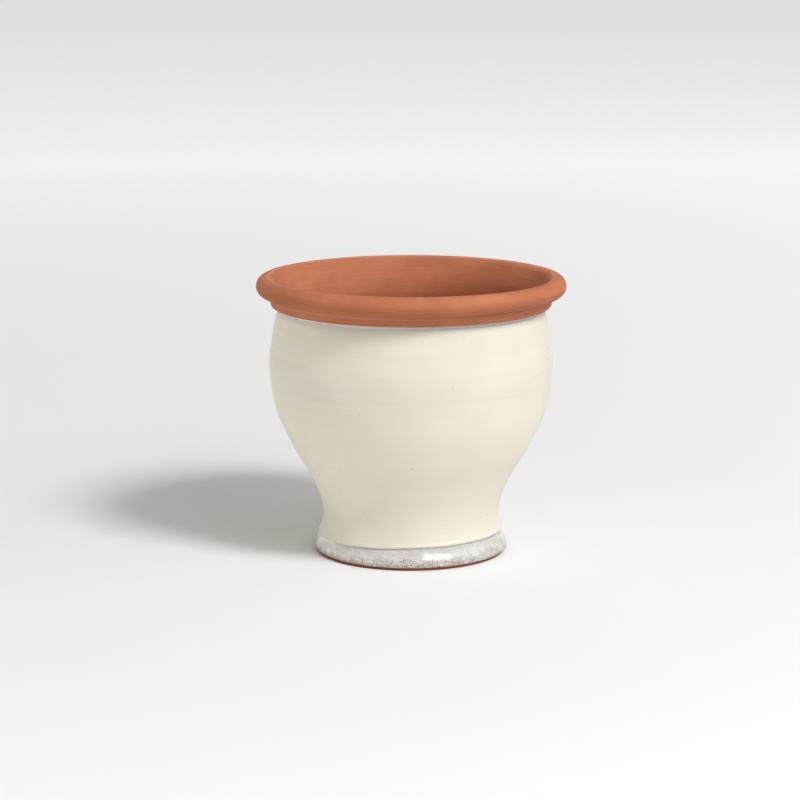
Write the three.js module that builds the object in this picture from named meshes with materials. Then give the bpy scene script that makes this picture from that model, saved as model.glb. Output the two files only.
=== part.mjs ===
// A wheel-thrown terracotta planter: a bell-shaped body on a rounded foot, with a short collar and a
// rolled rim. A grey-white glaze covers the outside, and an ivory glaze covers all of that but the foot.
// Millimetres, +Z up. The origin is the centre of the circle that the pot stands on.
import * as THREE from "three";

// Driving dimensions
const RIM_DIAMETER = 250; // over the rolled rim, the widest part
const BEAD_RADIUS = 7.75; // of the rolled rim's round section
const BEAD_HEIGHT = 217.75; // of the centre of that section
const BEAD_START = -110; // where the collar meets that section, in degrees from straight outwards
const BEAD_END = 145; // where the throat leaves it
const COLLAR_BOTTOM = 201.4; // height of the collar's lower edge
const FLOOR_THICKNESS = 11;
const FLOOR_FLAT = 48; // radius of the flat part of the inside floor
const FLOOR_CORNER = 58; // radius where the inside floor would meet the wall if the corner were sharp
const FOOT_RADIUS = 75.4; // of the circle that touches the ground
const FOOT_ROUND = 2;
const BASE_RECESS = 3; // depth of the hollow under the pot
const BASE_RECESS_RADIUS = 60;
const BASE_RECESS_SLOPE = 2; // how much wider the hollow is at the ground
const DRAIN_RADIUS = 11;
const DRAIN_CHAMFER = 1;

const UNDERCOAT_THICKNESS = 0.5;
const CREAM_THICKNESS = 0.6;
const LAYER_GAP = 0.2; // room between two layers
const BARE_FOOT_HEIGHT = 2.3; // clay left bare above the ground
const CREAM_BOTTOM = 16.6;
const CREAM_TOP_MARGIN = 2.4; // undercoat left showing under the collar

const AROUND = 48; // sides of each ring
const FINE_ABOVE = 45; // above this height the wall is stepped twice between two points of its curve
const CORNER_STEPS = 4; // round the inside floor's edge
const FOOT_STEPS = 2;
const BEAD_STEPS_BELOW = 5; // from the collar to the rim's widest point
const BEAD_STEPS_ABOVE = 7; // from there over the top to the throat

const v = (radius, height) => new THREE.Vector2(radius, height);
const beadCentre = v(RIM_DIAMETER / 2 - BEAD_RADIUS, BEAD_HEIGHT);

// The outer face of the clay from the foot to the collar: foot, waist, belly and neck.
const wallOutside = new THREE.SplineCurve([
  v(FOOT_RADIUS + FOOT_ROUND, FOOT_ROUND),
  v(77.7, 5),
  v(76.9, 8),
  v(75.2, 11.5),
  v(74.2, 14),
  v(73.5, 16.4),
  v(70.4, 29),
  v(72.6, 45),
  v(81.6, 65),
  v(96.3, 90.6),
  v(108.8, 120),
  v(113.3, 152),
  v(111.4, 173),
  v(106.1, COLLAR_BOTTOM),
]);

// The collar from its lower edge to the crease under the rolled rim.
const collar = [
  v(111.4, COLLAR_BOTTOM),
  v(112.8, 202.2),
  v(113.5, 204.2),
  v(114.0, 207.2),
  v(113.3, 209.4),
];

// The inner face from the edge of the floor, up the belly, through the neck, to the flared throat.
const inside = [
  v(59.5, 24),
  v(64.5, 46),
  v(73.3, 66),
  v(87.6, 91),
  v(100.0, 120),
  v(104.8, 150),
  v(103.6, 168),
  v(99.6, 187),
  v(98.6, 195),
  v(99.4, 201.5),
  v(102.2, 208.8),
  v(106.4, 215.6),
];

// Radius and height of the wall's outer face, moved out along its normal, at the curve's parameter t.
function wallPoint(t, outwards) {
  const point = wallOutside.getPoint(t);
  const along = wallOutside.getTangent(t);
  return v(point.x + along.y * outwards, point.y - along.x * outwards);
}

// The curve's parameter at a height. The wall rises all the way, so halving the interval finds it.
function parameterAt(height) {
  let low = 0;
  let high = 1;
  for (let i = 0; i < 40; i++) {
    const middle = (low + high) / 2;
    if (wallOutside.getPoint(middle).y < height) low = middle;
    else high = middle;
  }
  return (low + high) / 2;
}

// Points of the wall between two heights. Every layer steps on the same places, so layers stay parallel.
function wallLine(bottom, top, outwards) {
  const halfSpans = 2 * (wallOutside.points.length - 1);
  const least = 0.5; // rise from an end of the layer to the next point
  const steps = [parameterAt(bottom)];
  for (let i = 1; i < halfSpans; i++) {
    const height = wallOutside.getPoint(i / halfSpans).y;
    const wanted = i % 2 === 0 || height > FINE_ABOVE;
    if (wanted && height > bottom + least && height < top - least) steps.push(i / halfSpans);
  }
  steps.push(parameterAt(top));
  return steps.map((t) => wallPoint(t, outwards));
}

// Points of a circle between two angles, in degrees from straight outwards.
function arc(centre, radius, from, to, steps) {
  const points = [];
  for (let i = 0; i <= steps; i++) {
    const angle = THREE.MathUtils.degToRad(from + ((to - from) * i) / steps);
    points.push(v(centre.x + radius * Math.cos(angle), centre.y + radius * Math.sin(angle)));
  }
  return points;
}

// The rolled rim from the collar, out to its widest point, over the top and down to the throat.
function beadLine() {
  return [
    ...arc(beadCentre, BEAD_RADIUS, BEAD_START, 0, BEAD_STEPS_BELOW),
    ...arc(beadCentre, BEAD_RADIUS, 0, BEAD_END, BEAD_STEPS_ABOVE).slice(1),
  ];
}

// The rounded corner between the inside wall and the inside floor, downwards.
function floorCorner() {
  return new THREE.QuadraticBezierCurve(
    inside[0],
    v(FLOOR_CORNER, FLOOR_THICKNESS),
    v(FLOOR_FLAT, FLOOR_THICKNESS),
  ).getPoints(CORNER_STEPS);
}

// The clay in section: out under the base, up the outside, over the rim, down the inside, to the hole.
function clayProfile() {
  return [
    v(DRAIN_RADIUS, BASE_RECESS),
    v(BASE_RECESS_RADIUS, BASE_RECESS),
    v(BASE_RECESS_RADIUS + BASE_RECESS_SLOPE, 0),
    ...arc(v(FOOT_RADIUS, FOOT_ROUND), FOOT_ROUND, -90, 0, FOOT_STEPS).slice(0, -1),
    ...wallLine(BARE_FOOT_HEIGHT, COLLAR_BOTTOM, 0),
    ...collar,
    ...beadLine(),
    ...inside.slice(1).reverse(),
    ...floorCorner(),
    v(DRAIN_RADIUS + DRAIN_CHAMFER, FLOOR_THICKNESS),
    v(DRAIN_RADIUS, FLOOR_THICKNESS - DRAIN_CHAMFER),
    v(DRAIN_RADIUS, BASE_RECESS),
  ];
}

// A coat of glaze in section: up its outer face and down its inner face.
function coatProfile(bottom, top, inner, thickness) {
  const outside = wallLine(bottom, top, inner + thickness);
  const inside = wallLine(bottom, top, inner).reverse();
  return [...outside, ...inside, outside[0].clone()];
}

// A closed ring about the Z axis from a section of radius and height.
function ring(name, profile, material) {
  const geometry = new THREE.LatheGeometry(profile, AROUND);
  geometry.rotateX(Math.PI / 2);
  const mesh = new THREE.Mesh(geometry, material);
  mesh.name = name;
  return mesh;
}

const terracotta = new THREE.MeshStandardMaterial({ color: 0xb9714f, roughness: 0.85, metalness: 0 });
const greyWhiteGlaze = new THREE.MeshStandardMaterial({ color: 0xc9c5c0, roughness: 0.15, metalness: 0 });
const ivoryGlaze = new THREE.MeshStandardMaterial({ color: 0xe9e3cd, roughness: 0.35, metalness: 0 });

const undercoatTop = COLLAR_BOTTOM - LAYER_GAP;
const creamInner = LAYER_GAP + UNDERCOAT_THICKNESS + LAYER_GAP;
const creamTop = COLLAR_BOTTOM - CREAM_TOP_MARGIN;

const pot = new THREE.Group();
pot.add(ring("clay_body", clayProfile(), terracotta));
pot.add(
  ring(
    "undercoat_glaze",
    coatProfile(BARE_FOOT_HEIGHT, undercoatTop, LAYER_GAP, UNDERCOAT_THICKNESS),
    greyWhiteGlaze,
  ),
);
pot.add(
  ring("cream_glaze", coatProfile(CREAM_BOTTOM, creamTop, creamInner, CREAM_THICKNESS), ivoryGlaze),
);

export default pot;
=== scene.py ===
import math

import bpy
import numpy as np
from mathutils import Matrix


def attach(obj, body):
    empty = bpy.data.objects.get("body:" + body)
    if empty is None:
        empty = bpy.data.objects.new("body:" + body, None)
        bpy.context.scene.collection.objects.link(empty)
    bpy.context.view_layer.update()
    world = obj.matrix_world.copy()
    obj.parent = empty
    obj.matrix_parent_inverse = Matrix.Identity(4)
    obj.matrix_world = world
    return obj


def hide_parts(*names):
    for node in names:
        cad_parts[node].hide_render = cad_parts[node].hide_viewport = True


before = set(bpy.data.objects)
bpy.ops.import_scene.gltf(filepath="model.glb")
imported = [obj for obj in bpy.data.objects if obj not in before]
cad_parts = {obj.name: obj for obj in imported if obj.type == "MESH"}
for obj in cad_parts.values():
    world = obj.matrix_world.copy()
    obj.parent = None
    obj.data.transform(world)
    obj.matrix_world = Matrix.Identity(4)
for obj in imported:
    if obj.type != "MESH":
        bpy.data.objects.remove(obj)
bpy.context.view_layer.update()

MM = 0.001

# Driving dimensions, in millimetres, as in the CAD model
RIM_RADIUS = 125
BEAD_RADIUS = 7.75  # of the rolled rim's round section
BEAD_HEIGHT = 217.75  # of the centre of that section
BEAD_START = -110  # where the collar meets that section, in degrees from straight outwards
BEAD_END = 145  # where the throat leaves it
COLLAR_BOTTOM = 201.4
NECK_RADIUS = 106.1  # of the wall where it goes in under the collar
FLOOR_THICKNESS = 11
FLOOR_FLAT = 48  # radius of the flat part of the inside floor
FLOOR_CORNER = 58  # radius where the inside floor would meet the wall if the corner were sharp
FOOT_RADIUS = 75.4  # of the circle that touches the ground
FOOT_ROUND = 2
BASE_RECESS = 3
BASE_RECESS_RADIUS = 60
BASE_RECESS_SLOPE = 2  # how much wider the hollow is at the ground
DRAIN_RADIUS = 11
BARE_FOOT_HEIGHT = 2.3
UNDERCOAT = 0.7  # from the clay's face to the grey-white glaze's face
CREAM = 1.5  # from the clay's face to the ivory glaze's face
CREAM_BOTTOM = 16.6
CREAM_TOP = 198.4

# Radius and height of points on the clay's outer face, from the foot to the collar
WALL_OUTSIDE = [
    (FOOT_RADIUS + FOOT_ROUND, FOOT_ROUND),
    (77.7, 5),
    (76.9, 8),
    (75.2, 11.5),
    (74.2, 14),
    (73.5, 16.4),
    (70.4, 29),
    (72.6, 45),
    (81.6, 65),
    (96.3, 90.6),
    (108.8, 120),
    (113.3, 152),
    (111.4, 173),
    (NECK_RADIUS, COLLAR_BOTTOM),
]

# Radius and height of points on the collar, from its lower edge to the crease under the rolled rim
COLLAR = [
    (111.4, COLLAR_BOTTOM),
    (112.8, 202.2),
    (113.5, 204.2),
    (114.0, 207.2),
    (113.3, 209.4),
]

# Radius and height of points on the inner face, from the edge of the floor to the flared throat
WALL_INSIDE = [
    (59.5, 24),
    (64.5, 46),
    (73.3, 66),
    (87.6, 91),
    (100.0, 120),
    (104.8, 150),
    (103.6, 168),
    (101.6, 178),
    (99.6, 187),
    (98.6, 195),
    (99.4, 201.5),
    (102.2, 208.8),
    (106.4, 215.6),
]

# Sizes that follow from those, and finer ones that the CAD model doesn't have, in millimetres
RIM_TOP = BEAD_HEIGHT + BEAD_RADIUS
HOLE_ROUND = 1.2  # of the drain hole's edges
HOLE_EDGE = DRAIN_RADIUS + HOLE_ROUND  # radius where the rounded edge runs out into the floor or the base
THROAT_BOTTOM = 185  # where the throat's close lines give way to the belly's wide ones
GLAZED_ABOVE = 6  # from this height up to the collar, the clay's outer face never shows
UNDERCOAT_TOP = COLLAR_BOTTOM - 0.05
UNDERCOAT_SUNK = 0.05  # how far its back goes into the clay, so that no gap shows
CREAM_SUNK = 0.1  # how far its back goes into the grey-white glaze
EDGE_ROUND = 0.9  # how far in from its edges a coat's face is rounded, as a share of its thickness
COAT_BACK_STEPS = 23

# Depth of the finger and tool marks on each stretch of the clay, and how far apart they are
SMOOTH = (0.0, 3)
BASE_MARKS = (0.12, 3)
COLLAR_MARKS = (0.03, 2.5)
RIM_MARKS = (0.06, 2.5)
THROAT_MARKS = (0.08, 4)
BELLY_MARKS = (0.3, 8)
FLOOR_MARKS = (0.2, 6)

COLUMNS = 288  # vertices round each ring
ANGLE = np.linspace(0, 2 * math.pi, COLUMNS, endpoint=False)[None, :]  # 0 is +X, and the camera is at -Y


# ---- curves ------------------------------------------------------------------------------------------


def spline(points, steps):
    """A smooth curve through the points: an array of (radius, height), with so many steps a span."""
    padded = np.array([points[0], *points, points[-1]], float)
    t = np.arange(steps)[:, None] / steps
    spans = []
    for a, b, c, d in zip(padded, padded[1:], padded[2:], padded[3:]):
        first = (c - a) / 2
        second = a - 2.5 * b + 2 * c - d / 2
        third = 1.5 * (b - c) + (d - a) / 2
        spans.append(b + first * t + second * t**2 + third * t**3)
    return np.concatenate([*spans, padded[-1:]])


def bezier(start, control, end, steps):
    """A curve from start to end that leaves and arrives along the lines to the control point."""
    t = np.linspace(0, 1, steps + 1)[:, None]
    start, control, end = (np.array(p, float) for p in (start, control, end))
    return (1 - t) ** 2 * start + 2 * t * (1 - t) * control + t**2 * end


def arc(centre, radius, first, last, steps):
    """Part of a circle between two angles, in degrees from straight outwards."""
    angle = np.radians(np.linspace(first, last, steps + 1))
    return np.stack([centre[0] + radius * np.cos(angle), centre[1] + radius * np.sin(angle)], -1)


def line(start, end, steps):
    """Evenly spaced places from start to end."""
    return np.linspace(start, end, steps + 1)


def respaced(points, spacing):
    """The same curve with its points about so far apart."""
    along = np.concatenate([[0], np.cumsum(np.hypot(*np.diff(points, axis=0).T))])
    places = np.linspace(0, along[-1], max(2, round(along[-1] / spacing)) + 1)
    return np.stack([np.interp(places, along, points[:, 0]), np.interp(places, along, points[:, 1])], -1)


WALL = spline(WALL_OUTSIDE, 60)
WALL_LEAN = np.gradient(WALL[:, 0], WALL[:, 1])  # how far the wall moves out for each millimetre of rise


def wall_point(height, outwards):
    """Radius and height of the place so far outwards from the clay's face at this height."""
    radius = np.interp(height, WALL[:, 1], WALL[:, 0])
    lean = np.interp(height, WALL[:, 1], WALL_LEAN)
    slant = np.sqrt(1 + lean**2)
    return radius + outwards / slant, height - outwards * lean / slant


# ---- the small faults of hand work -------------------------------------------------------------------


def lines(seed, height, size):
    """Noise that changes only with height, from -1 to 1, with lines about so many millimetres apart."""
    height = np.asarray(height, float)
    rng = np.random.default_rng(seed)
    step = size / 2
    lowest, highest = height.min() - size, height.max() + size
    values = rng.uniform(-1, 1, int((highest - lowest) / step) + 3)
    place = (height - lowest) / step
    below = np.floor(place).astype(int)
    share = place - below
    share = share * share * (3 - 2 * share)
    return values[below] * (1 - share) + values[below + 1] * share


def drift(seed, height, bumps, tall):
    """Slow noise over the wall, about -1 to 1: up to so many bumps in a turn, and each so many mm tall."""
    rng = np.random.default_rng(seed)
    waves = 6
    total = 0
    for _ in range(waves):
        turn = rng.integers(1, bumps + 1) * ANGLE
        rise = rng.uniform(-math.pi, math.pi) * height / tall
        total = total + np.cos(turn + rise + rng.uniform(0, 2 * math.pi))
    return total / math.sqrt(2 * waves)


def wander(seed, bumps):
    """Slow noise along an edge that goes round the pot."""
    return drift(seed, 0, bumps, 1)


def hump(away, width):
    """1 where away is 0, and falling off smoothly to both sides."""
    return np.exp(-((away / width) ** 2))


def throwing_marks(seed, height, size, depth):
    """The potter's finger lines: rings a little off level, that fade in and out round the pot."""
    tilted = height + 0.5 * np.cos(ANGLE - 1.0) + 0.25 * drift(seed, height, 3, 90)
    strength = 0.6 + 0.4 * drift(seed + 1, height, 5, 40)
    return depth * strength * lines(seed + 2, tilted, size)


# ---- meshes ------------------------------------------------------------------------------------------


def ring_mesh(name, radius, height):
    """A closed ring from radius and height in mm: a row for each point of its section, going up outside."""
    x = radius * np.cos(ANGLE)
    y = radius * np.sin(ANGLE)
    vertices = np.stack([x, y, height], -1).reshape(-1, 3) * MM
    row = np.arange(len(radius))[:, None] * COLUMNS
    column = np.arange(COLUMNS)[None, :]
    above = np.roll(row, -1, 0)
    beside = np.roll(column, -1, 1)
    corners = [row + column, row + beside, above + beside, above + column]
    faces = np.stack(corners, -1).reshape(-1, 4)
    mesh = bpy.data.meshes.new(name)
    mesh.from_pydata(vertices.tolist(), [], faces.tolist())
    mesh.polygons.foreach_set("use_smooth", np.ones(len(faces), bool))
    return mesh


def ring(name, radius, height, node, material, marks=None):
    """Makes a piece that is one ring.

    marks maps the name of a mesh attribute to its value at each row and column, in metres.
    """
    mesh = ring_mesh(name, radius, height)
    for mark, values in (marks or {}).items():
        layer = mesh.attributes.new(mark, "FLOAT", "POINT")
        layer.data.foreach_set("value", np.ascontiguousarray(values, np.float32).ravel())
    mesh.materials.append(material)
    mesh.update()
    piece = bpy.data.objects.new(name, mesh)
    bpy.context.scene.collection.objects.link(piece)
    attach(piece, "root")
    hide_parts(node)


def pushed(points, outwards):
    """The section's points at each angle, moved along their own normals by an array of rows and columns."""
    ahead = np.roll(points, -1, 0) - np.roll(points, 1, 0)
    ahead /= np.hypot(ahead[:, 0], ahead[:, 1])[:, None]
    radius = points[:, :1] + ahead[:, 1:] * outwards
    height = points[:, 1:] - ahead[:, :1] * outwards
    return radius, height


def base_section():
    """The drain hole's lower edge, the hollow under the pot, and the foot."""
    recess_edge = (BASE_RECESS_RADIUS, BASE_RECESS)
    ground_edge = (BASE_RECESS_RADIUS + BASE_RECESS_SLOPE, 0)
    return [
        (arc((HOLE_EDGE, BASE_RECESS + HOLE_ROUND), HOLE_ROUND, 180, 270, 4), SMOOTH),
        (line((HOLE_EDGE, BASE_RECESS), recess_edge, 30), BASE_MARKS),
        (line(recess_edge, ground_edge, 3), SMOOTH),
        (line(ground_edge, (FOOT_RADIUS, 0), 8), SMOOTH),
        (arc((FOOT_RADIUS, FOOT_ROUND), FOOT_ROUND, -90, 0, 6), SMOOTH),
    ]


def outside_section(bead):
    """The bare strip above the ground, the face that the glaze hides, the collar and the rolled rim."""
    bare_strip = np.stack(wall_point(line(FOOT_ROUND, GLAZED_ABOVE, 13), 0), -1)
    glazed = np.stack(wall_point(line(GLAZED_ABOVE, COLLAR_BOTTOM, 15), 0), -1)
    return [
        (bare_strip, SMOOTH),
        (glazed, SMOOTH),
        (line((NECK_RADIUS, COLLAR_BOTTOM), COLLAR[0], 4), SMOOTH),
        (spline([*COLLAR, tuple(bead[0])], 5), COLLAR_MARKS),
        (bead, RIM_MARKS),
    ]


def inside_section(bead):
    """The throat, the belly, the rounded corner, the floor and the drain hole, downwards."""
    wall = spline([*WALL_INSIDE, tuple(bead[-1])], 40)[::-1]
    throat = wall[wall[:, 1] > THROAT_BOTTOM]
    belly = wall[wall[:, 1] <= THROAT_BOTTOM]
    corner = (FLOOR_CORNER, FLOOR_THICKNESS)
    flat_edge = (FLOOR_FLAT, FLOOR_THICKNESS)
    hole_top = (DRAIN_RADIUS, FLOOR_THICKNESS - HOLE_ROUND)
    hole_bottom = (DRAIN_RADIUS, BASE_RECESS + HOLE_ROUND)
    return [
        (respaced(throat, 1.0), THROAT_MARKS),
        (respaced(belly, 2.2), BELLY_MARKS),
        (bezier(WALL_INSIDE[0], corner, flat_edge, 10), FLOOR_MARKS),
        (line(flat_edge, (HOLE_EDGE, FLOOR_THICKNESS), 20), FLOOR_MARKS),
        (arc((HOLE_EDGE, FLOOR_THICKNESS - HOLE_ROUND), HOLE_ROUND, 90, 180, 4), SMOOTH),
        (line(hole_top, hole_bottom, 4), SMOOTH),
    ]


def make_clay(material):
    bead_centre = (RIM_RADIUS - BEAD_RADIUS, BEAD_HEIGHT)
    bead = arc(bead_centre, BEAD_RADIUS, BEAD_START, BEAD_END, 48)
    stretches = [*base_section(), *outside_section(bead), *inside_section(bead)]
    points = np.concatenate([part[:-1] for part, _ in stretches])
    depth, spacing = np.concatenate([np.tile(marks, (len(part) - 1, 1)) for part, marks in stretches]).T

    blend = 3  # rows to each side over which one stretch's marks run into the next one's
    window = np.ones(2 * blend + 1) / (2 * blend + 1)
    depth = np.convolve(np.pad(depth, blend, "wrap"), window, "valid")[:, None]
    lengths = np.hypot(*np.diff(points, axis=0).T)
    mark_count = np.concatenate([[0], np.cumsum(lengths / spacing[1:])])[:, None]
    usual_spacing = 4
    marks = depth * throwing_marks(11, mark_count * usual_spacing, usual_spacing, 1.0)

    level_below = 8  # the foot stays round and flat
    out_of_round = 0.12 * drift(17, points[:, 1:], 4, 120) * (points[:, 1:] > level_below)
    radius, height = pushed(points, marks + out_of_round)
    ring("clay_pot", radius, np.maximum(height, 0), "clay_body", material)


def row_shares(wall_height, bottom, top, steps):
    """How far up a coat each row of its outer face is, from 0 to 1.

    The coat has a stretch of bottom mm, one between, and one of top mm, each with so many steps.
    """
    ends = [0, bottom / wall_height, 1 - top / wall_height, 1]
    stretches = [line(*pair) for pair in zip(ends, ends[1:], steps)]
    return np.concatenate([*(stretch[:-1] for stretch in stretches), [1]])


def coat(low, high, inner, outer, shares, relief):
    """Radius and height of a coat of glaze between two edges that wander round the pot.

    low and high are the heights of its edges, inner and outer the places of its faces outwards from the
    clay's. shares says how far up each row of the outer face is, and relief(height) moves that face.
    """
    face_height = low + (high - low) * shares[:, None]
    thickness = outer + relief(face_height) - inner
    to_edge = np.minimum(face_height - low, high - face_height)
    round_share = np.clip(to_edge / (EDGE_ROUND * thickness), 0, 1)
    face = inner + thickness * np.sqrt(1 - (1 - round_share) ** 2)
    back_height = low + (high - low) * line(1, 0, COAT_BACK_STEPS)[1:-1, None]
    back = np.full(back_height.shape, inner)
    height = np.concatenate([face_height, back_height])
    return wall_point(height, np.concatenate([face, back]))


def bare_edge():
    """Height of the grey-white glaze's lower edge round the pot."""
    return BARE_FOOT_HEIGHT + 0.2 * wander(23, 14) + 0.12 * wander(24, 40)


def cream_edge():
    """Height of the ivory glaze's lower edge, which was dipped a little out of level."""
    tilt = 2.3 * np.cos(ANGLE) - 0.8 * np.cos(2 * ANGLE) - 0.5
    return CREAM_BOTTOM + tilt + 0.3 * wander(31, 12) + 0.1 * wander(32, 36)


def make_undercoat(material):
    low = bare_edge()

    def relief(height):
        roll = 0.1 * hump(height - low - 1.2, 1.0)
        return roll + throwing_marks(26, height, 3, 0.008) + 0.03 * drift(29, height, 12, 30)

    shares = row_shares(COLLAR_BOTTOM - BARE_FOOT_HEIGHT, 20, 8, (61, 13, 21))
    radius, height = coat(low, UNDERCOAT_TOP, -UNDERCOAT_SUNK, UNDERCOAT, shares, relief)
    marks = {"under_cream": (cream_edge() - height) * MM}
    ring("grey_white_coat", radius, height, "undercoat_glaze", material, marks)


def make_cream(material):
    low = cream_edge()
    high = CREAM_TOP + 0.25 * np.cos(ANGLE + 2) + 0.25 * wander(33, 9)

    def relief(height):
        roll = 0.35 * hump(height - low - 1.5, 1.4)
        feathered = -0.6 * hump(high - height, 2.6)
        marks = throwing_marks(35, height, 3.2, 0.03) + throwing_marks(38, height, 9, 0.05)
        return roll + feathered + marks + 0.1 * drift(41, height, 5, 90)

    shares = row_shares(CREAM_TOP - CREAM_BOTTOM, 4, 3, (21, 205, 13))
    radius, height = coat(low, high, UNDERCOAT - CREAM_SUNK, CREAM, shares, relief)
    marks = {"above_edge": (height - low) * MM, "below_top": (high - height) * MM}
    ring("ivory_coat", radius, height, "cream_glaze", material, marks)


# ---- materials ---------------------------------------------------------------------------------------


def colour(red, green, blue):
    """A colour from screen values of 11 to 255, as the linear values that Blender's nodes take."""
    return (*(((value / 255 + 0.055) / 1.055) ** 2.4 for value in (red, green, blue)), 1)


CLAY = {
    "deep": colour(171, 101, 69),
    "warm": colour(182, 113, 77),
    "finger_lines": colour(162, 93, 65),
    "dust": colour(202, 136, 104),
    "grain": colour(190, 125, 94),
    "grit": colour(118, 69, 51),
    # The last five are painted light and shade on the clay's edges
    "under_rim_shade": colour(136, 75, 52),
    "crest_highlight": colour(205, 147, 117),
    "crease": colour(206, 144, 113),
    "collar_edge_shade": colour(138, 73, 56),
    "foot_edge_shade": colour(112, 52, 36),
}
GREY_WHITE = {
    "cool": colour(197, 194, 190),
    "pale": colour(208, 206, 201),
    "streaks": colour(186, 182, 178),
    # painted light for the band under the collar, against the collar's shadow
    "top": colour(212, 212, 209),
    "lower_edge": colour(166, 143, 132),
    "fine_specks": colour(150, 134, 128),
    "coarse_specks": colour(94, 78, 72),
    # painted shadow for the dark line under the ivory glaze's lower edge
    "cream_edge_shadow": colour(126, 120, 104),
}
IVORY = {
    "warm": colour(211, 206, 190),
    "pale": colour(216, 212, 197),
    "bands": colour(205, 199, 179),
    "fine_lines": colour(202, 195, 175),
    # painted light for the wall below the belly
    "lower_wall_light": colour(228, 223, 205),
    "pinholes": colour(148, 135, 111),
    # painted shade for the line along the glaze's lower edge
    "lower_edge": colour(176, 172, 158),
    "thin_top": colour(209, 207, 201),
}
PAPER = colour(232, 232, 232)


class Nodes:
    """A short way to build a node tree."""

    def __init__(self, tree):
        self.tree = tree

    def add(self, kind, settings=None, **inputs):
        made = self.tree.nodes.new(kind)
        for name, value in (settings or {}).items():
            setattr(made, name, value)
        for name, value in inputs.items():
            self.set(made.inputs[name.replace("_", " ")], value)
        return made

    def set(self, socket, value):
        if isinstance(value, bpy.types.NodeSocket):
            self.tree.links.new(value, socket)
        else:
            socket.default_value = value

    def math(self, operation, a, b=0.0):
        made = self.add("ShaderNodeMath", {"operation": operation})
        self.set(made.inputs[0], a)
        self.set(made.inputs[1], b)
        return made.outputs[0]

    def plus(self, a, b):
        return self.math("ADD", a, b)

    def times(self, a, b):
        return self.math("MULTIPLY", a, b)

    def ramp(self, value, low, high, to_low=0.0, to_high=1.0, shape="SMOOTHSTEP"):
        made = self.add("ShaderNodeMapRange", {"interpolation_type": shape}, Value=value)
        self.set(made.inputs["From Min"], low)
        self.set(made.inputs["From Max"], high)
        self.set(made.inputs["To Min"], to_low)
        self.set(made.inputs["To Max"], to_high)
        return made.outputs["Result"]


class Material(Nodes):
    """The node tree of a material that is worked out from places on the object."""

    def __init__(self, name, base):
        self.material = bpy.data.materials.new(name)
        self.material.use_nodes = True
        super().__init__(self.material.node_tree)
        self.shader = self.tree.nodes["Principled BSDF"]
        self.base = base
        self.place = self.add("ShaderNodeTexCoord").outputs["Object"]
        level = self.add("ShaderNodeVectorMath", {"operation": "MULTIPLY"}, Vector=self.place)
        self.set(level.inputs[1], (1, 1, 0))
        self.radius = self.add(
            "ShaderNodeVectorMath", {"operation": "LENGTH"}, Vector=level.outputs["Vector"]
        ).outputs["Value"]
        split = self.add("ShaderNodeSeparateXYZ", Vector=self.place).outputs
        self.across = split["X"]
        self.height = split["Z"]

    def noise(self, size_mm, detail, rough=0.5, stretch=(1, 1, 1)):
        """Noise with features about so many millimetres across, from 0 to 1."""
        place = self.add("ShaderNodeMapping", Vector=self.place, Scale=stretch).outputs["Vector"]
        return self.add(
            "ShaderNodeTexNoise", Vector=place, Scale=1 / (size_mm * MM), Detail=detail, Roughness=rough
        ).outputs[0]

    def streaks(self, tall_mm, long_mm, detail):
        """Level streaks so tall and so long."""
        flat = tall_mm / long_mm
        return self.noise(tall_mm, detail, 0.55, (flat, flat, 1))

    def ramp_mm(self, value, low_mm, high_mm, to_low=0.0, to_high=1.0):
        """A ramp between two places in millimetres."""
        return self.ramp(value, low_mm * MM, high_mm * MM, to_low, to_high)

    def band(self, value, middle_mm, half_mm):
        """1 where the value is within a band, which fades to 0 at its two ends."""
        away = self.math("ABSOLUTE", self.math("SUBTRACT", value, middle_mm * MM))
        return self.ramp_mm(away, 0.3 * half_mm, half_mm, 1, 0)

    def mark(self, name):
        """A value that the mesh carries at each of its vertices."""
        return self.add("ShaderNodeAttribute", {"attribute_name": name}).outputs["Fac"]

    def paint(self, share, tint):
        """Lays a colour over the base colour, by a share from 0 to 1."""
        made = self.add("ShaderNodeMix", {"data_type": "RGBA"})
        share_socket, under_socket, over_socket = (made.inputs[i] for i in (0, 6, 7))
        self.set(share_socket, share)
        self.set(under_socket, self.base)
        self.set(over_socket, tint)
        self.base = made.outputs[2]

    def bump(self, height, depth_mm, below=None):
        made = self.add("ShaderNodeBump", Height=height, Distance=depth_mm * MM)
        if below is not None:
            self.set(made.inputs["Normal"], below)
        return made.outputs["Normal"]

    def finish(self, **sockets):
        self.set(self.shader.inputs["Base Color"], self.base)
        for name, value in sockets.items():
            self.set(self.shader.inputs[name.replace("_", " ")], value)
        return self.material


def terracotta_material():
    """Bare fired red clay: warm and matt, with clouds, finger lines, pale dust and grit."""
    m = Material("terracotta", CLAY["deep"])
    clouds = m.noise(38, 3)
    finger_lines = m.streaks(1.3, 70, 3)
    dust = m.streaks(2.2, 24, 3)
    grain = m.noise(0.9, 4, 0.6)
    grit = m.noise(0.35, 2, 0.6)
    m.paint(m.ramp(clouds, 0.35, 0.65), CLAY["warm"])
    m.paint(m.ramp(finger_lines, 0.3, 0.7, 0, 0.35), CLAY["finger_lines"])
    m.paint(m.ramp(dust, 0.45, 0.75, 0, 0.18), CLAY["dust"])
    m.paint(m.ramp(grain, 0.35, 0.75, 0, 0.3), CLAY["grain"])
    m.paint(m.ramp(grit, 0.66, 0.74, 0, 0.35), CLAY["grit"])
    paint_clay_light_and_shade(m)
    roughness = m.ramp(grain, 0.3, 0.7, 0.72, 0.88)
    normal = m.bump(finger_lines, 0.06)
    normal = m.bump(grain, 0.05, normal)
    normal = m.bump(grit, 0.025, normal)
    return m.finish(Roughness=roughness, Normal=normal, IOR=1.45, Specular_IOR_Level=0.25)


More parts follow.
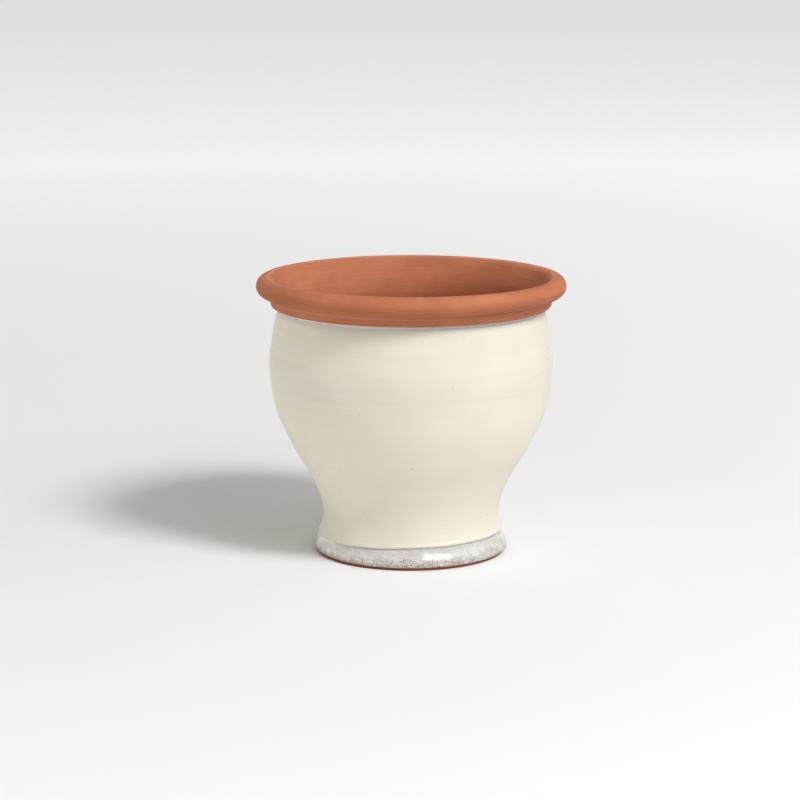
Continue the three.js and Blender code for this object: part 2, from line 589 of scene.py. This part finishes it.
def paint_clay_light_and_shade(m):
    """Painted highlights atop the rolled rim and in the groove under it, and painted shade on the other
    edges.
    """
    patchy = m.ramp(m.noise(9, 3), 0.3, 0.6, 0.35, 1)
    outside = m.ramp_mm(m.radius, 110.5, 111.2)
    crest_radius = 115.4
    crease_height = 208.2
    under_rim_height = 214.5
    crest_highlight = m.times(m.band(m.radius, crest_radius, 1.7), m.ramp_mm(m.height, RIM_TOP - 3, RIM_TOP - 1))
    crease = m.times(m.band(m.height, crease_height, 2.0), outside)
    under_rim_shade = m.times(m.band(m.height, under_rim_height, 5.5), outside)
    collar_edge_shade = m.times(m.band(m.height, COLLAR_BOTTOM, 1.8), outside)
    foot_edge_shade = m.ramp_mm(m.height, 1.2, 3.5, 1, 0)
    # Painted shade on the lower half of the rolled rim, which faces down
    m.paint(m.times(under_rim_shade, 0.25), CLAY["under_rim_shade"])
    # Painted highlight, in patches, along the inner top edge of the rolled rim
    m.paint(m.times(crest_highlight, m.times(patchy, 0.4)), CLAY["crest_highlight"])
    # Painted highlight: a light line in the groove between the rolled rim and the collar
    m.paint(m.times(crease, 0.65), CLAY["crease"])
    # Painted shade along the collar's lower edge, where it rounds under
    m.paint(m.times(collar_edge_shade, 0.4), CLAY["collar_edge_shade"])
    # Painted shade on the bare strip at the foot, which turns under towards the ground
    m.paint(m.times(foot_edge_shade, 0.85), CLAY["foot_edge_shade"])


def undercoat_material():
    """Glossy grey-white glaze with soft clouds and streaks, and brown specks that crowd towards its foot.

    It is duller along its lower edge, towards its top, and at -X, where the glaze ran thin.
    """
    m = Material("grey_white_glaze", GREY_WHITE["cool"])
    clouds = m.noise(6, 3)
    streaks = m.streaks(1.1, 26, 3)
    uneven_height = m.plus(m.height, m.ramp(m.noise(6, 2), 0.3, 0.7, -2 * MM, 2 * MM))
    thin_side = m.ramp_mm(m.across, -65, -20, 1, 0)
    m.paint(m.ramp(clouds, 0.35, 0.65), GREY_WHITE["pale"])
    m.paint(m.ramp(streaks, 0.35, 0.7, 0, 0.35), GREY_WHITE["streaks"])
    # Painted light: paler near the top, to offset the shadow under the collar
    m.paint(m.ramp_mm(m.height, 190, 198, 0, 0.9), GREY_WHITE["top"])
    m.paint(m.ramp_mm(uneven_height, 1.5, 6, 0.4, 0), GREY_WHITE["lower_edge"])
    paint_specks(m, uneven_height, 0.7, 0.46, 0.64, GREY_WHITE["fine_specks"])
    paint_specks(m, uneven_height, 1.1, 0.56, 0.7, GREY_WHITE["coarse_specks"])
    # Painted shadow: a dark line just under the ivory glaze's lower edge, fainter towards -X
    cream_edge_shadow = m.ramp_mm(m.math("ABSOLUTE", m.mark("under_cream")), 0.3, 0.9, 0.55, 0)
    m.paint(m.times(cream_edge_shadow, m.ramp(thin_side, 0, 1, 1, 0.1)), GREY_WHITE["cream_edge_shadow"])
    dull_top = m.ramp_mm(m.height, 150, 190, 0, 0.39)
    dull_edge = m.ramp_mm(uneven_height, 4, 9, 0.3, 0)
    dull_side = m.times(thin_side, 0.22)
    roughness = 0.06
    for dullness in (dull_top, dull_edge, dull_side):
        roughness = m.plus(roughness, dullness)
    normal = m.bump(m.noise(9, 1), 0.02)
    return m.finish(Roughness=roughness, Normal=normal, IOR=1.85)


def paint_specks(m, height, size_mm, limit_low, limit_high, tint):
    """Specks where a noise is over a limit, which rises between 2 and 12 mm above the ground."""
    limit = m.ramp_mm(height, 2, 12, limit_low, limit_high)
    over = m.math("SUBTRACT", m.noise(size_mm, 1.5), limit)
    m.paint(m.ramp(over, 0, 0.035, 0, 0.82), tint)


def pinhole_places(m):
    """1 in the middle of a pinhole, 0 elsewhere: one cell in six of an 8 mm pattern has one."""
    cells = m.add("ShaderNodeTexVoronoi", Vector=m.place, Scale=1 / (8 * MM)).outputs
    chosen = m.add("ShaderNodeSeparateColor", Color=cells["Color"]).outputs[0]
    return m.times(m.ramp(cells["Distance"], 0.04, 0.09, 1, 0), m.ramp(chosen, 0.82, 0.84))


def cream_material():
    """Satin ivory glaze: fine level lines, soft bands and clouds, and a few pinholes.

    It thins out towards its two edges, with painted shade along the lower one, and has painted light below
    the belly.
    """
    m = Material("ivory_glaze", IVORY["warm"])
    clouds = m.noise(55, 2)
    bands = m.streaks(4.5, 160, 2)
    fine_lines = m.streaks(0.9, 60, 3)
    lower_wall_light = m.band(m.height, 85, 65)
    pinholes = pinhole_places(m)
    m.paint(m.ramp(clouds, 0.3, 0.7), IVORY["pale"])
    m.paint(m.ramp(bands, 0.35, 0.7, 0, 0.16), IVORY["bands"])
    m.paint(m.ramp(fine_lines, 0.4, 0.75, 0, 0.25), IVORY["fine_lines"])
    # Painted light: paler on the wall below the belly, which faces down
    m.paint(m.times(lower_wall_light, 0.6), IVORY["lower_wall_light"])
    m.paint(m.times(pinholes, 0.5), IVORY["pinholes"])
    # Painted shade: darker along the lower edge, where the glaze rounds under
    m.paint(m.ramp_mm(m.mark("above_edge"), 0.2, 0.8, 0.4, 0), IVORY["lower_edge"])
    m.paint(m.ramp_mm(m.mark("below_top"), 0.4, 3.5, 0.75, 0), IVORY["thin_top"])
    roughness = m.ramp(fine_lines, 0.3, 0.7, 0.42, 0.52)
    normal = m.bump(bands, 0.055)
    normal = m.bump(fine_lines, 0.03, normal)
    normal = m.bump(m.math("SUBTRACT", 1.0, pinholes), 0.12, normal)
    return m.finish(Roughness=roughness, Normal=normal, IOR=1.5, Specular_IOR_Level=0.4)


def floor_material():
    """Pale studio paper. Away from the pot it glows a little, as a lit backdrop does."""
    m = Material("studio_floor", PAPER)
    return m.finish(
        Roughness=0.9,
        Specular_IOR_Level=0.0,
        Emission_Color=(1, 1, 1, 1),
        Emission_Strength=m.ramp(m.radius, GLOW_START, GLOW_END, 0, FLOOR_GLOW, "LINEAR"),
    )


# ---- studio ------------------------------------------------------------------------------------------

# Places and sizes from here on are in metres
CAMERA_TARGET = (-0.009, 0, 0.1229)
CAMERA_DISTANCE = 1.993
CAMERA_ELEVATION = 11.2  # degrees
LENS = 110.25  # mm
SENSOR = 36  # mm

# Softboxes: degrees from the camera's side towards +X, degrees up, width, height, and watts
SOFTBOX_TARGET = (0, 0, 0.1)
SOFTBOX_DISTANCE = 5
SOFTBOXES = {
    "key_softbox": (44, 46, 1.2, 1.2, 176),
    "wide_softbox": (35, 33, 3.0, 1.2, 38),
    "side_softbox": (80, 30, 4.2, 3.2, 36),
}
SOFTBOX_COLOUR = (1, 1, 1.03)

ROOM_COLOUR = (1, 0.985, 0.95, 1)
ROOM_STRENGTH = 0.18  # from all round
OVERHEAD_STRENGTH = 0.34
BACK_STRENGTH = 0.38
REFLECTOR_STRENGTH = 8.4
REFLECTOR_AZIMUTH = -80
REFLECTOR_TOP = 0.165  # sine of the elevation where it ends

FLOOR_HALF = 40
FLOOR_GLOW = 0.37
GLOW_START = 0.4  # radius where the glow begins
GLOW_END = 3.2  # radius where it is full


def direction(azimuth, elevation):
    """The unit vector towards a place so far round from -Y towards +X and so far up, in degrees."""
    a, e = math.radians(azimuth), math.radians(elevation)
    return np.array([math.sin(a) * math.cos(e), -math.cos(a) * math.cos(e), math.sin(e)])


def facing(data, target, azimuth, elevation, distance):
    """An object with this data that looks at the target from that side."""
    made = bpy.data.objects.new(data.name, data)
    bpy.context.scene.collection.objects.link(made)
    made.location = np.array(target) + direction(azimuth, elevation) * distance
    made.rotation_euler = (math.radians(90 - elevation), 0, math.radians(azimuth))
    return made


def add_camera():
    data = bpy.data.cameras.new("camera")
    data.sensor_width = SENSOR
    data.lens = LENS
    bpy.context.scene.camera = facing(data, CAMERA_TARGET, 0, CAMERA_ELEVATION, CAMERA_DISTANCE)


def add_softboxes():
    for name, (azimuth, elevation, width, height, watts) in SOFTBOXES.items():
        data = bpy.data.lights.new(name, "AREA")
        data.shape = "RECTANGLE"
        data.size = width
        data.size_y = height
        data.energy = watts
        data.color = SOFTBOX_COLOUR
        facing(data, SOFTBOX_TARGET, azimuth, elevation, SOFTBOX_DISTANCE)


def add_room_light():
    """Dim light from all round, more from overhead and behind, and a low white reflector at the left."""
    world = bpy.data.worlds.new("room")
    bpy.context.scene.world = world
    world.use_nodes = True
    n = Nodes(world.node_tree)
    place = n.add("ShaderNodeTexCoord").outputs["Generated"]
    split = n.add("ShaderNodeSeparateXYZ", Vector=place).outputs
    overhead = n.times(n.times(split["Z"], split["Z"]), OVERHEAD_STRENGTH)
    behind = n.times(n.math("MAXIMUM", split["Y"], 0.0), BACK_STRENGTH)
    towards = n.add("ShaderNodeVectorMath", {"operation": "DOT_PRODUCT"}, Vector=place)
    n.set(towards.inputs[1], direction(REFLECTOR_AZIMUTH, 0))
    facing_it = n.math("MAXIMUM", towards.outputs["Value"], 0.0)
    low = n.ramp(n.math("ABSOLUTE", split["Z"]), 0, REFLECTOR_TOP, REFLECTOR_STRENGTH, 0, "LINEAR")
    reflector = n.times(n.times(facing_it, facing_it), low)
    strength = ROOM_STRENGTH
    for part in (overhead, behind, reflector):
        strength = n.plus(strength, part)
    background = world.node_tree.nodes["Background"]
    n.set(background.inputs["Strength"], strength)
    n.set(background.inputs["Color"], ROOM_COLOUR)


def add_floor():
    corners = [(x * FLOOR_HALF, y * FLOOR_HALF, 0) for x, y in ((-1, -1), (1, -1), (1, 1), (-1, 1))]
    mesh = bpy.data.meshes.new("studio_floor")
    mesh.from_pydata(corners, [], [(0, 1, 2, 3)])
    mesh.materials.append(floor_material())
    floor = bpy.data.objects.new("studio_floor", mesh)
    bpy.context.scene.collection.objects.link(floor)


add_camera()
add_softboxes()
add_room_light()
add_floor()
make_clay(terracotta_material())
make_undercoat(undercoat_material())
make_cream(cream_material())
bpy.context.scene.view_settings.view_transform = "Standard"
